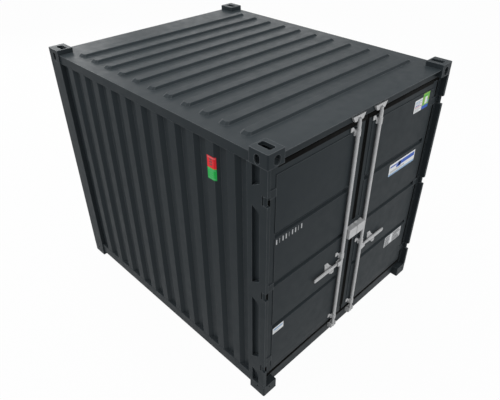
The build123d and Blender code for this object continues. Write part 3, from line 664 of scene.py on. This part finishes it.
def add_bar(bm, x_ends, y_ends, z_ends, chamfer):
    """A straight bar with its front and back edges taken off."""
    (x0, x1), (y0, y1), (z0, z1) = sorted(x_ends), sorted(y_ends), sorted(z_ends)
    rings = []
    for y, inset in ((y0, chamfer), (y0 + chamfer, 0.0), (y1 - chamfer, 0.0), (y1, chamfer)):
        left, right, low, high = x0 + inset, x1 - inset, z0 + inset, z1 - inset
        corners = ((left, low), (right, low), (right, high), (left, high))
        rings.append(add_points(bm, [(x, y, z) for x, z in corners]))
    bm.faces.new(rings[0])
    bm.faces.new(rings[-1])
    bridge(bm, rings)


def add_strip(bm, points, z0, z1, lift, material):
    """A thin upright strip that follows points, lifted off the wall and closed at its back."""
    out = Vector((-lift, -SIDE_LABEL_LEAN * lift, 0))
    in_wall = Vector((LABEL_THICK, 0, 0))
    front = add_points(bm, [p + out + Vector((0, 0, z)) for z in (z0, z1) for p in points])
    back = add_points(bm, [p + in_wall + Vector((0, 0, z)) for z in (z0, z1) for p in points])
    n = len(points)
    steps = [(a, a + 1) for a in range(n - 1)]
    quads = [(front[a], front[b], front[n + b], front[n + a]) for a, b in steps]
    quads += [(back[b], back[a], back[n + a], back[n + b]) for a, b in steps]
    for a, b in steps:
        quads.append((front[b], front[a], back[a], back[b]))
        quads.append((front[n + a], front[n + b], back[n + b], back[n + a]))
    quads.append((front[0], front[n], back[n], back[0]))
    quads.append((front[2 * n - 1], front[n - 1], back[n - 1], back[2 * n - 1]))
    for quad in quads:
        bm.faces.new(quad).material_index = material


# Places read from the frame

def joint_place(name):
    row = next(joint for joint in frame["joints"] if joint["name"] == name)
    return Vector(row["pos_m"])


def door_face():
    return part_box("door_panel_right")[0].y


def islands(name):
    """The boxes of the separate solids in a CAD node, lowest first, then by y and x."""
    bm = bmesh.new()
    bm.from_mesh(frame["nodes"][name].data)
    bmesh.ops.remove_doubles(bm, verts=bm.verts, dist=SAME_POINT)
    left, boxes = set(bm.verts), []
    while left:
        group, front = set(), [left.pop()]
        while front:
            vert = front.pop()
            group.add(vert)
            for edge in vert.link_edges:
                other = edge.other_vert(vert)
                if other in left:
                    left.discard(other)
                    front.append(other)
        corners = [v.co for v in group]
        boxes.append(tuple(Vector([end(c[i] for c in corners) for i in range(3)]) for end in (min, max)))
    bm.free()
    return sorted(boxes, key=lambda box: tuple(box[0])[::-1])


def outer_edge(node, axis, level):
    """The outer line of a corrugated wall at one level, from the node's own vertices, in order."""
    sign = -1 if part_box(node)[0][axis] < 0 else 1
    best = {}
    for vertex in frame["nodes"][node].data.vertices:
        if abs(vertex.co.z - level) < SAME_LEVEL:
            key = round(vertex.co[1 - axis], 4)
            best[key] = max(best.get(key, -math.inf), sign * vertex.co[axis])
    points = []
    for key in sorted(best):
        point = Vector((0, 0, level))
        point[axis], point[1 - axis] = sign * best[key], key
        points.append(point)
    return points


# Labels with plain fields

def label(name, body, x_ends, z_ends, sheet, fields):
    """A sticker on a door with its printed fields."""
    width, tall = x_ends[1] - x_ends[0], z_ends[1] - z_ends[0]
    centre = Vector((sum(x_ends) / 2, door_face(), sum(z_ends) / 2))
    right, up, normal = axes(OUTWARD, UP)
    colours = [sheet] + sorted({field[4] for field in fields})
    bm = bmesh.new()
    add_sheet(bm, centre, rounded_outline(width, tall, LABEL_RADIUS), LABEL_THICK)
    for x0, y0, x1, y1, colour in fields:
        middle = centre + LABEL_THICK * normal
        middle += (x0 + x1 - 1.0) / 2 * width * right + (y0 + y1 - 1.0) / 2 * tall * up
        wide, high = (x1 - x0) * width, (y1 - y0) * tall
        outline = rounded_outline(wide, high, min(0.2 * min(wide, high), LABEL_RADIUS), 2)
        add_sheet(bm, middle, outline, PRINT_THICK, colours.index(colour))
    piece(name, bm, colours, body)


def door_labels():
    for name, side, x_ends, z_ends, sheet, fields in DOOR_LABELS:
        label(name, "door_" + side, x_ends, z_ends, sheet, fields)
    for k in range(MARK_COUNT):
        x = MARK_START + MARK_PITCH * k
        wide = MARK_THIN if k % 3 == 1 else MARK_WIDE
        label("mark_%d" % (k + 1), "door_left", (x, x + wide), MARK_ZS, "grey", [])


def side_label():
    """Red over green on the second outer flat, wrapped on to the slope beside it."""
    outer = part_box("side_wall_left")[0].x - LABEL_THICK
    flat = [Vector((outer, y, 0)) for y in SIDE_LABEL_YS]
    fold = Vector((outer + SIDE_LABEL_FOLD[0], SIDE_LABEL_FOLD[1], 0))
    whole = flat + [fold]
    border = SIDE_LABEL_BORDER
    inner = [flat[0] + Vector((0, -border, 0)), flat[1], fold + SIDE_LABEL_INSET]
    low, middle, high = SIDE_LABEL_ZS
    colours = ("sign_red", "sign_green", "pink", "mint", "dark")
    red, green, pink, mint, dark = range(len(colours))
    bm = bmesh.new()
    add_strip(bm, whole, middle, high, 0.0, red)
    add_strip(bm, whole, low, middle, 0.0, green)
    add_strip(bm, inner, high - 2.2 * border, high - border, PRINT_THICK, pink)
    add_strip(bm, inner, low + border, low + 2.2 * border, PRINT_THICK, mint)
    add_strip(bm, inner, middle - 2.4 * border, middle - 1.2 * border, PRINT_THICK, mint)
    for bars, colour in ((RED_BARS, dark), (GREEN_BARS, mint)):
        for z0, z1, ys in bars:
            add_strip(bm, [Vector((outer, y, 0)) for y in ys], z0, z1, PRINT_THICK, colour)
    piece("label_red_and_green", bm, colours, "container")


# Fasteners and fittings

def head_set(name, places, size, body, slot):
    """Round heads on upright faces that look out of the doors."""
    bm = bmesh.new()
    for place in places:
        add_dome(bm, Vector(place), OUTWARD, size)
    piece(name, bm, [slot], body, smooth=True)


def door_bolts():
    for side, sign in SIDES:
        door = "door_" + side
        rod_x = joint_place("rod_%s_turn" % side).x
        face = door_face() - BRACKET_FOOT_PROUD
        spots = [
            (rod_x + aside, face, foot.z + above)
            for foot, _ in islands("rod_brackets_" + side)
            for above in BRACKET_BOLT_HIGHS
            for aside in (-BRACKET_BOLT_ASIDE, BRACKET_BOLT_ASIDE)
        ]
        head_set("bracket_bolts_" + side, spots, BOLT, door, "gear")
        catch_low, catch_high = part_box("handle_catch_" + side)
        middle = (catch_low.x + catch_high.x) / 2 - CATCH_BOX_TO_MIDDLE
        hub = joint_place("handle_%s_lift" % side)
        spots = [(middle + x, face, hub.z + z) for x, z in CATCH_RIVETS]
        head_set("catch_rivets_" + side, spots, RIVET, door, "gear")
        box_low, box_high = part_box("lock_box_" + side)
        levels = (box_high.z + LOCK_BOLT_ABOVE, box_low.z - LOCK_BOLT_BELOW)
        spots = [(sign * x, box_high.y, z) for x in LOCK_BOLT_XS for z in levels]
        head_set("lock_plate_bolts_" + side, spots, RIVET, door, "paint")


def rod_collars():
    """A collar below and above the sleeve of each bracket, which turns with its rod."""
    for side, _ in SIDES:
        axis = joint_place("rod_%s_turn" % side)
        bm = bmesh.new()
        for low, _ in islands("rod_brackets_" + side):
            for z in (low.z - COLLAR_BELOW, low.z + SLEEVE_TALL + COLLAR_ABOVE):
                add_washer(bm, Vector((axis.x, axis.y, z)), COLLAR)
        piece("rod_collars_" + side, bm, ["gear"], "rod_%s_turning" % side)


def handle_fittings():
    """A strap and a boss where each handle lies in its catch, and the head of its pin."""
    width, tall, radius = STRAP_SIZE
    for side, sign in SIDES:
        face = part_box("handle_" + side)[0].y
        hub = joint_place("handle_%s_lift" % side)
        middle = joint_place("rod_%s_turn" % side).x + sign * ROD_TO_CATCH
        strap = Vector((middle + STRAP_SHIFT, face, hub.z))
        boss = Vector((middle - BOSS_SHIFT, face, hub.z))
        pin = Vector((hub.x, hub.y - HUB_HALF, hub.z))
        bm = bmesh.new()
        add_sheet(bm, strap, rounded_outline(width, tall, radius), STRAP_THICK, rim=STRAP_RIM)
        add_dome(bm, boss, OUTWARD, BOSS, FITTING_SEGMENTS)
        add_dome(bm, pin, OUTWARD, PIN_HEAD, FITTING_SEGMENTS)
        piece("handle_fittings_" + side, bm, ["gear"], "handle_%s_lever" % side)


def hinge_washers():
    """Washers at both ends of each knuckle."""
    bm = bmesh.new()
    for side, _ in SIDES:
        hinge = joint_place("door_%s_hinge" % side)
        for low, high in islands("door_hinges_" + side):
            for z in (low.z - WASHER_BELOW, high.z + WASHER_ABOVE):
                add_washer(bm, Vector((hinge.x, hinge.y, z)), WASHER)
    piece("hinge_washers", bm, ["paint"], "container")


def floor_screws():
    """A screw at both edges of each board, over each cross member."""
    boards = islands("floor_boards")
    top = max(high.z for _, high in boards)
    bm = bmesh.new()
    for low, high in boards:
        for beam_low, beam_high in islands("floor_cross_members"):
            y = (beam_low.y + beam_high.y) / 2
            for x in (low.x + SCREW_FROM_EDGE, high.x - SCREW_FROM_EDGE):
                add_dome(bm, Vector((x, y, top - SCREW_SUNK)), UP, SCREW, SCREW_SEGMENTS)
    piece("floor_screws", bm, ["gear"], "container", smooth=True)


# Welds

def hinge_welds():
    """Beads round each hinge blade on its door."""
    frame_low, frame_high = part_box("door_frame_right")
    front, end = frame_low.y + HINGE_WELD_BACK, frame_high.x - HINGE_WELD_END
    for side, sign in SIDES:
        bm = bmesh.new()
        for low, high in islands("door_hinges_" + side):
            x = sign * min(abs(low.x), abs(high.x))
            for z in (low.z, high.z):
                add_weld(bm, [(x, front, z), (sign * end, front, z)], HINGE_WELD)
            add_weld(bm, [(x, front, low.z), (x, front, high.z)], HINGE_WELD)
        piece("hinge_welds_" + side, bm, ["paint"], "door_" + side, smooth=True)


def wall_welds():
    """Beads along the foot and the top of each corrugated wall."""
    for node, axis in (("side_wall_left", 0), ("side_wall_right", 0), ("rear_wall", 1)):
        low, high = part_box(node)
        bm = bmesh.new()
        for level in (low.z, high.z):
            add_weld(bm, outer_edge(node, axis, level), WALL_WELD, WALL_WELD_SIDES)
        piece("weld_" + node, bm, ["paint"], "container", smooth=True)


def casting_welds():
    """Beads where the posts meet the castings, along their two outer faces."""
    bm = bmesh.new()
    for side, sign in SIDES:
        for post, end in (("front_post_", -1), ("rear_post_", 1)):
            low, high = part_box(post + side)
            x_in, x_out = (low.x, high.x)[::sign]
            y_in, y_out = (low.y, high.y)[::end]
            reach = x_in if end > 0 else x_out - sign * FRONT_FLANGE
            for z in (low.z, high.z):
                add_weld(bm, [(x_out, y_in, z), (x_out, y_out, z), (reach, y_out, z)], CASTING_WELD)
    piece("weld_castings", bm, ["paint"], "container", smooth=True)


def panel_welds():
    """Beads round each door panel, which dip into its grooves at both ends."""
    front = door_face() + PANEL_WELD
    deep = front + GROOVE_DEPTH
    low, high = PANEL_ZS
    rise = [(low, front)]
    for level in GROOVE_LEVELS:
        rise += [(level - GROOVE_HALF, front), (level - GROOVE_FLOOR_HALF, deep)]
        rise += [(level + GROOVE_FLOOR_HALF, deep), (level + GROOVE_HALF, front)]
    rise.append((high, front))
    for side, sign in SIDES:
        near, far = (sign * x for x in PANEL_XS)
        path = [(near, y, z) for z, y in rise] + [(far, y, z) for z, y in reversed(rise)]
        bm = bmesh.new()
        add_weld(bm, path + path[:1], PANEL_WELD)
        piece("panel_welds_" + side, bm, ["paint"], "door_" + side, smooth=True)


# Seals

def add_seal_ribs(bm, side, sign):
    """Two ribs round the seal of a door, broken at its hinges."""
    low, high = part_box("door_gasket_" + side)
    frame_low, frame_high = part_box("door_frame_" + side)
    far = (max(abs(low.x), abs(high.x)) + DOOR_OUTER_X) / 2
    z_low, z_high = (low.z + frame_low.z) / 2, (high.z + frame_high.z) / 2
    spans, start = [], z_low
    for hinge_low, hinge_high in islands("door_hinges_" + side):
        spans.append((start, hinge_low.z - RIB_HINGE_GAP))
        start = hinge_high.z + RIB_HINGE_GAP
    spans.append((start, z_high))
    for shift in (-RIB_SHIFT, RIB_SHIFT):
        x = sign * (far + shift)
        for z in (z_low - shift, z_high + shift):
            add_rib(bm, (x, low.y, z), (sign * MEETING_X, low.y, z), RIB)
        for z0, z1 in spans:
            add_rib(bm, (x, low.y, z0), (x, low.y, z1), RIB)


def add_seal_strips(bm, side, sign):
    """Wide strips with a rib each at the meeting edge, a strip along the top and a lip at the foot."""
    low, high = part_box("door_gasket_" + side)
    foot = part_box("door_panel_" + side)[0].z + STRIP_ABOVE_PANEL_FOOT
    near = sign * MEETING_X
    rib_x = near + sign * STRIP_RIB_ASIDE
    proud = door_face() + STRIP_PROUD
    for z0, z1 in ((foot, LOCK_PLATE_ZS[0]), (LOCK_PLATE_ZS[1], STRIP_TOP)):
        add_bar(bm, (near, sign * STRIP_X), (proud, low.y), (z0, z1), STRIP_CHAMFER)
        add_rib(bm, (rib_x, proud, z0 + STRIP_RIB_END), (rib_x, proud, z1 - STRIP_RIB_END), STRIP_RIB)
    add_bar(bm, (near, sign * TOP_STRIP_X), (proud, low.y), (STRIP_TOP, high.z), STRIP_CHAMFER)
    lip_ys, lip_zs = [low.y + d for d in LOW_LIP_YS], [low.z + d for d in LOW_LIP_ZS]
    add_bar(bm, (near, sign * LOW_LIP_X), lip_ys, lip_zs, STRIP_CHAMFER)


def seal_lips():
    for side, sign in SIDES:
        bm = bmesh.new()
        add_seal_ribs(bm, side, sign)
        add_seal_strips(bm, side, sign)
        piece("seal_lips_" + side, bm, ["seal"], "door_" + side, smooth=True)


build_stage()
build_world()
build_camera()
for lamp_row in LAMPS:
    area_light(*lamp_row)
bpy.context.scene.view_settings.view_transform = "Standard"
finishes = make_finishes()
dress_nodes()
door_labels()
side_label()
door_bolts()
rod_collars()
handle_fittings()
hinge_washers()
hinge_welds()
wall_welds()
casting_welds()
seal_lips()
panel_welds()
floor_screws()
